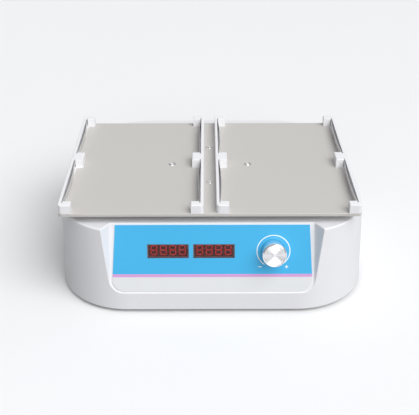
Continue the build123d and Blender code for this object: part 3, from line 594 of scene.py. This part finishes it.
class SHAKER_OT_strips(ShakerStep):
    """Make the eight bowed strips that press on the plates"""

    bl_idname = "shaker.strips"
    bl_label = "Plate strips"

    def make(self, sizes, colours):
        steel = metal("strip_steel", (0.80, 0.80, 0.81), 0.26, (1.0, 1.0, 14.0))
        wall = 4.9 * mm
        recess = 2.0 * mm
        crown = 0.5 * mm
        pocket = 86.5 * mm
        tuck = 2.5 * mm
        pocket_y = 52.25 * mm
        rail_gap = 12.4 * mm
        lift = 0.9 * mm
        edge_round = 0.12 * mm
        back = wall - recess + 0.1 * mm
        bow = crown + recess - 0.1 * mm - sizes.strip_thickness
        half = pocket / 2 + tuck
        along = np.linspace(-half, half, 49)
        inner = np.column_stack((back + bow * (1 - (along / half) ** 2), along))
        outline = np.concatenate((inner[::-1], inner + (sizes.strip_thickness, 0.0)))
        section = rounded_section(0.0, sizes.strip_height, edge_round, 3)
        grid = prism(outline, section)
        meshes = []
        half_width = (tray_high[0] - tray_low[0]) / 2
        for x, facing in ((-half_width, 1), (-rail_gap / 2, -1), (rail_gap / 2, 1), (half_width, -1)):
            for row in (-pocket_y, pocket_y):
                origin = (tray_middle[0] + x, tray_middle[1] + row, tray_top + lift)
                axes = np.diag((facing, facing, 1.0))
                meshes.append(surface("strip", placed(grid, origin, axes), start_cap=True, end_cap=True))
        strips = joined("bowed_strips", meshes)
        piece("bowed_strips", strips, steel, "platform", ["plate_springs"])


class SHAKER_OT_screws(ShakerStep):
    """Make the heads of the tray's four screws"""

    bl_idname = "shaker.screws"
    bl_label = "Screws"

    def make(self, sizes, colours):
        steel = metal("screw_steel", (0.86, 0.86, 0.85), 0.20, (1.0, 1.0, 1.0), 1600.0)
        circle = 40.0 * mm
        top = sizes.screw_dome
        dome_radius = 6.0 * mm
        socket_floor = -1.7 * mm
        rim_top = -0.15 * mm
        shank = 2.0 * mm
        tip = -11.0 * mm
        dome = arc((0.0, top - dome_radius), dome_radius, 90, 64, 9)
        socket = [(0.0, socket_floor), (1.1 * mm, socket_floor), (1.2 * mm, top - 0.35 * mm)]
        rim = [(2.75 * mm, -0.25 * mm), (2.9 * mm, -0.75 * mm), (3.9 * mm, rim_top), (4.05 * mm, rim_top)]
        stem = [(shank, -2.15 * mm), (shank, tip), (0.0, tip)]
        profile = np.concatenate((socket, dome[4:], rim, stem))
        meshes = []
        for dx, dy in ((1, 0), (0, 1), (-1, 0), (0, -1)):
            origin = (tray_middle[0] + dx * circle, tray_middle[1] + dy * circle, tray_top)
            meshes.append(surface("screw", placed(turned(profile, 48), origin, upright)))
        screws = joined("tray_screw_set", meshes)
        piece("tray_screw_set", screws, steel, "platform", ["tray_screws"])


class SHAKER_OT_feet(ShakerStep):
    """Make the four turned rubber feet"""

    bl_idname = "shaker.feet"
    bl_label = "Rubber feet"

    def make(self, sizes, colours):
        rubber = moulded("foot_rubber", (0.028, 0.028, 0.03), 0.62, 900.0, 0.00005, 0.1)
        low, high = (np.array(corner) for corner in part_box("rubber_feet"))
        outer = sizes.foot_radius
        inner = 5.0 * mm
        bore = 1.7 * mm
        sole = outer - 1.4 * mm
        seat = 2.6 * mm
        edge = 0.4 * mm
        sole_round = 0.5 * mm
        ring_swell = 0.12 * mm
        top = high[2] - low[2]
        radii = np.linspace(inner + edge, sole - sole_round, 8 * sizes.foot_rings + 1)
        phase = 2 * pi * sizes.foot_rings * (radii - radii[0]) / (radii[-1] - radii[0])
        profile = np.concatenate(
            (
                [(bore, top), (bore, seat), (inner, seat), (inner, edge)],
                np.column_stack((radii, ring_swell * (1 - np.cos(phase)))),
                arc((sole - sole_round, sole_round), sole_round, 285, 355, 5),
                [(outer, top - edge), (outer - 0.1 * mm, top), (bore, top)],
            )
        )
        meshes = []
        for x in (low[0] + outer, high[0] - outer):
            for y in (low[1] + outer, high[1] - outer):
                meshes.append(surface("foot", placed(turned(profile, 72), (x, y, low[2]), upright)))
        piece("turned_feet", joined("turned_feet", meshes), rubber, "base", ["rubber_feet"])


class SHAKER_OT_panel(ShakerStep):
    """Finish the printed sheet and its windows, and make the display digits behind them"""

    bl_idname = "shaker.panel"
    bl_label = "Panel and displays"

    def make(self, sizes, colours):
        dress(printed_sheet(colours), "control_overlay")
        dress(window_filter(colours), "display_windows")
        dress(moulded("display_black", (0.012, 0.010, 0.011), 0.4, 1200.0, 0.00002, 0.1), "led_displays")
        face = -3.1 * mm
        proud = 0.15 * mm
        joint_gap = 0.15 * mm
        row = 28.4 * mm
        digits = 4
        tall = sizes.digit_height / 2
        wide = sizes.digit_width / 2
        meshes = []
        for window_x in (-43.1 * mm, 1.5 * mm):
            for k in range(digits):
                middle = window_x + (k - (digits - 1) / 2) * sizes.digit_pitch
                spots = [(0, tall, 0), (0, 0, 0), (0, -tall, 0)]
                spots += [(side * wide, level * tall / 2, 90) for side in (-1, 1) for level in (-1, 1)]
                for dx, dy, turn in spots:
                    reach = (tall if turn else 2 * wide) / 2 - joint_gap
                    meshes.append(self.segment(sizes, middle + dx, row - dy, turn, reach, face, proud))
        lit = joined("display_digits", meshes)
        piece("display_digits", lit, lit_segment(colours), "base")

    def segment(self, sizes, x, row, turn, reach, face, proud):
        """One segment: a bar with pointed ends, its outline a stretched hexagon."""
        half = sizes.segment_width / 2
        tip = reach - half
        outline = np.array([(-tip, -half), (tip, -half), (reach, 0), (tip, half), (-tip, half), (-reach, 0)])
        if turn:
            outline = np.column_stack((-outline[:, 1], outline[:, 0]))
        grid = prism(outline, [(0.0, 0.0), (0.0, proud)])
        return surface("segment", placed(grid, *on_panel(x, row, face)), start_cap=True, end_cap=True)


class SHAKER_OT_knob(ShakerStep):
    """Make the turned knob with its bright bevel and grooved face"""

    bl_idname = "shaker.knob"
    bl_label = "Knob"

    def make(self, sizes, colours):
        outer = sizes.knob_radius
        top = sizes.knob_height
        bevel = sizes.knob_bevel
        bore = 3.05 * mm
        mouth = 7.2 * mm
        mouth_depth = 3.8 * mm
        bore_depth = 3.0 * mm
        step = 0.45 * mm
        groove_depth = 0.025 * mm
        dish_depth = 0.25 * mm
        foot_round = 0.5 * mm
        foot_gap = 1.1 * mm
        rows_per_groove = 6
        face = top - step
        face_radius = outer - bevel - step
        rows = int(face_radius / sizes.knob_pitch) * rows_per_groove
        radii = np.linspace(face_radius, 0.0, rows)
        groove = groove_depth * (1 + np.cos(2 * pi * radii / sizes.knob_pitch))
        dish = dish_depth * (1 - (radii / face_radius) ** 2)
        profile = np.concatenate(
            (
                [(bore, face - bore_depth), (bore, mouth_depth), (mouth, mouth_depth), (mouth, 0.0)],
                arc((outer - foot_round, foot_round), foot_round, 270, 360, 5),
                [(outer, top - bevel - 0.12 * mm), (outer - 0.1 * mm, top - bevel + 0.02 * mm)],
                [(outer - bevel + 0.1 * mm, top - 0.08 * mm), (outer - bevel - 0.08 * mm, top)],
                [(outer - bevel - 0.3 * mm, top - 0.1 * mm)],
                np.column_stack((radii, face - groove - dish)),
            )
        )
        origin, axes = on_panel(sizes.knob_x, sizes.knob_row, sheet_thickness + foot_gap)
        mesh = surface("turned_knob", placed(turned(profile, 160), origin, axes), start_cap=True)
        piece("turned_knob", mesh, turned_knob(colours), "knob", ["knob"], sharp=28.0)


class SHAKER_OT_rear(ShakerStep):
    """Finish the power inlet and the power switch"""

    bl_idname = "shaker.rear"
    bl_label = "Inlet and switch"

    def make(self, sizes, colours):
        black = moulded("inlet_black", (0.016, 0.016, 0.018), 0.46, 1300.0, 0.00003, 0.12)
        dress(black, "power_inlet", "switch_bezel")
        gloss = moulded("rocker_gloss", (0.014, 0.014, 0.016), 0.22, 700.0, 0.00001, 0.1, Coat_Weight=0.3)
        dress(gloss, "power_rocker")
        dress(metal("contact_metal", (0.80, 0.77, 0.68), 0.26, (1.0, 10.0, 1.0)), "inlet_pins")


class SHAKER_OT_inside(ShakerStep):
    """Finish everything inside the housing"""

    bl_idname = "shaker.inside"
    bl_label = "Inner parts"

    def make(self, sizes, colours):
        corners = ("front_left", "front_right", "rear_left", "rear_right")
        sheet = metal("mill_aluminium", (0.80, 0.81, 0.82), 0.38, (10.0, 1.0, 1.0), 700.0)
        dress(sheet, "chassis_plate", "idler_blocks", "chassis_standoffs", "board_spacers")
        dress(cast_metal("cast_aluminium", (0.66, 0.67, 0.68)), "tray_carrier")
        dress(metal("motor_zinc", (0.60, 0.61, 0.62), 0.30, (1.0, 1.0, 9.0)), "motor_body")
        ground = metal("ground_steel", (0.62, 0.62, 0.63), 0.24, (1.0, 1.0, 14.0), 1400.0)
        dress(ground, "drive_crank", "motor_shaft", "encoder_shaft", "counterweight")
        dress(ground, *[f"idler_crank_{corner}" for corner in corners])
        race = metal("bearing_steel", (0.80, 0.81, 0.83), 0.14, (1.0, 1.0, 10.0), 1800.0, 0.00001, 0.03)
        dress(race, "main_bearing_inner", "carrier_bearing_outers", "block_bearing_outers")
        dress(race, *[f"idler_bearings_{corner}" for corner in corners])
        zinc = metal("zinc_plate", (0.74, 0.74, 0.72), 0.28, (1.0, 1.0, 1.0), 1200.0, 0.00002, 0.1)
        screws = ("foot", "housing", "chassis", "motor", "block", "display_board", "board", "inlet", "rail")
        dress(zinc, *[f"{name}_screws" for name in screws], "crank_set_screw", "knob_set_screw")
        dress(circuit_board(), "display_board", "main_board", "supply_board")
        nylon = moulded("black_nylon", (0.02, 0.02, 0.022), 0.5, 1000.0, 0.00003, 0.1)
        dress(nylon, "encoder_body", "encoder_rotor")
        dress(metal("nickel_plate", (0.78, 0.75, 0.66), 0.22, (1.0, 1.0, 1.0), 1500.0), "encoder_nut")
        dress(ribbon_jacket(), "display_ribbon")
        sleeve = moulded("lead_sleeve", (0.02, 0.02, 0.022), 0.48, 600.0, 0.00005, 0.1)
        dress(sleeve, "motor_lead", "mains_lead")


class SHAKER_OT_studio(bpy.types.Operator):
    """Set up the floor, the light and the camera"""

    bl_idname = "shaker.studio"
    bl_label = "Studio"

    def execute(self, context):
        scene = context.scene
        self.floor(scene)
        self.light(scene)
        self.camera(scene)
        return {"FINISHED"}

    def floor(self, scene):
        """Flat floor, wide enough to fill the view from every side."""
        reach = 12.0
        along = np.linspace(-reach, reach, 9)
        x, y = np.meshgrid(along, along)
        grid = np.stack((x, y, np.zeros_like(x)), axis=-1)
        mesh = surface("studio_floor", grid, around=False)
        shader = Shader("floor_paper", Specular_IOR_Level=0.1)
        base = tuple(scene.shaker_colours.floor)
        paper = shader.noise(3.0, 2.0)
        shader.set(Base_Color=shader.mix(paper, tinted(base, 0.985), base), Roughness=0.9 + 0.05 * paper)
        mesh.materials.append(shader.material)
        floor = bpy.data.objects.new("studio_floor", mesh)
        scene.collection.objects.link(floor)
        floor.visible_diffuse = False

    def light(self, scene):
        """Soft sky and ground, a broad sun from the upper right, and one soft box in front for the gloss."""
        studio = scene.shaker_studio
        world = bpy.data.worlds.new("studio_sky")
        world.use_nodes = True
        scene.world = world
        tree = world.node_tree
        background = tree.nodes["Background"]
        coordinates = tree.nodes.new("ShaderNodeTexCoord")
        split = tree.nodes.new("ShaderNodeSeparateXYZ")
        product = tree.nodes.new("ShaderNodeMath")
        product.operation = "MULTIPLY"
        tree.links.new(coordinates.outputs["Generated"], split.inputs[0])
        height = self.grade(tree, split.outputs["Z"], -0.15, 0.55, studio.ground, studio.sky)
        side = self.grade(tree, split.outputs["X"], -1.0, 0.6, 0.55, 1.0)
        tree.links.new(height, product.inputs[0])
        tree.links.new(side, product.inputs[1])
        tree.links.new(product.outputs[0], background.inputs["Strength"])
        background.inputs["Color"].default_value = (0.97, 0.98, 1.0, 1.0)
        sun = bpy.data.lights.new("key", "SUN")
        sun.energy = studio.key
        sun.angle = radians(50.0)
        key = bpy.data.objects.new("key", sun)
        key.rotation_euler = (radians(28.0), radians(30.0), 0.0)
        scene.collection.objects.link(key)
        self.soft_box(scene, "front_box", (0.2, -1.9, 0.9), (radians(72.0), 0.0, 0.0), (1.6, 0.7), 9.0)
        scene.view_settings.view_transform = "Standard"

    def grade(self, tree, value, start, stop, low, high):
        """Strength that goes evenly from low to high while the value goes from start to stop."""
        grading = tree.nodes.new("ShaderNodeMapRange")
        for name, number in (("From Min", start), ("From Max", stop), ("To Min", low), ("To Max", high)):
            grading.inputs[name].default_value = number
        tree.links.new(value, grading.inputs["Value"])
        return grading.outputs[0]

    def soft_box(self, scene, name, place, turn, size, energy):
        """Rectangular area light."""
        data = bpy.data.lights.new(name, "AREA")
        data.shape = "RECTANGLE"
        data.size, data.size_y = size
        data.energy = energy
        box = bpy.data.objects.new(name, data)
        box.location = place
        box.rotation_euler = turn
        scene.collection.objects.link(box)

    def camera(self, scene):
        """Camera at the photograph's viewing angle."""
        place = (-5.78 * mm, -783.5 * mm, 499.9 * mm)
        pitch_down = 0.52721
        yaw = -0.00446
        data = bpy.data.cameras.new("camera")
        data.sensor_fit = "HORIZONTAL"
        data.sensor_width = 36.0
        data.lens = 70.23
        camera = bpy.data.objects.new("camera", data)
        camera.location = place
        camera.rotation_euler = (pi / 2 - pitch_down, 0.0, yaw)
        scene.collection.objects.link(camera)
        scene.camera = camera


steps = (
    SHAKER_OT_housing,
    SHAKER_OT_tray,
    SHAKER_OT_strips,
    SHAKER_OT_screws,
    SHAKER_OT_feet,
    SHAKER_OT_panel,
    SHAKER_OT_knob,
    SHAKER_OT_rear,
    SHAKER_OT_inside,
    SHAKER_OT_studio,
)


class SHAKER_PT_pieces(bpy.types.Panel):
    """Steps and settings of the shaker."""

    bl_idname = "SHAKER_PT_pieces"
    bl_label = "Microplate shaker"
    bl_space_type = "VIEW_3D"
    bl_region_type = "UI"
    bl_category = "Shaker"

    def draw(self, context):
        column = self.layout.column()
        for step in steps:
            column.operator(step.bl_idname)
        for group in (context.scene.shaker_sizes, context.scene.shaker_colours, context.scene.shaker_studio):
            for name in group.__annotations__:
                column.prop(group, name)


groups = (ShakerSizes, ShakerColours, ShakerStudio)


def register():
    for item in groups + steps + (SHAKER_PT_pieces,):
        bpy.utils.register_class(item)
    bpy.types.Scene.shaker_sizes = PointerProperty(type=ShakerSizes)
    bpy.types.Scene.shaker_colours = PointerProperty(type=ShakerColours)
    bpy.types.Scene.shaker_studio = PointerProperty(type=ShakerStudio)


def unregister():
    del bpy.types.Scene.shaker_studio
    del bpy.types.Scene.shaker_colours
    del bpy.types.Scene.shaker_sizes
    for item in reversed(groups + steps + (SHAKER_PT_pieces,)):
        bpy.utils.unregister_class(item)


def main():
    register()
    for step in steps:
        group, name = step.bl_idname.split(".")
        getattr(getattr(bpy.ops, group), name)()


if __name__ == "__main__":
    main()
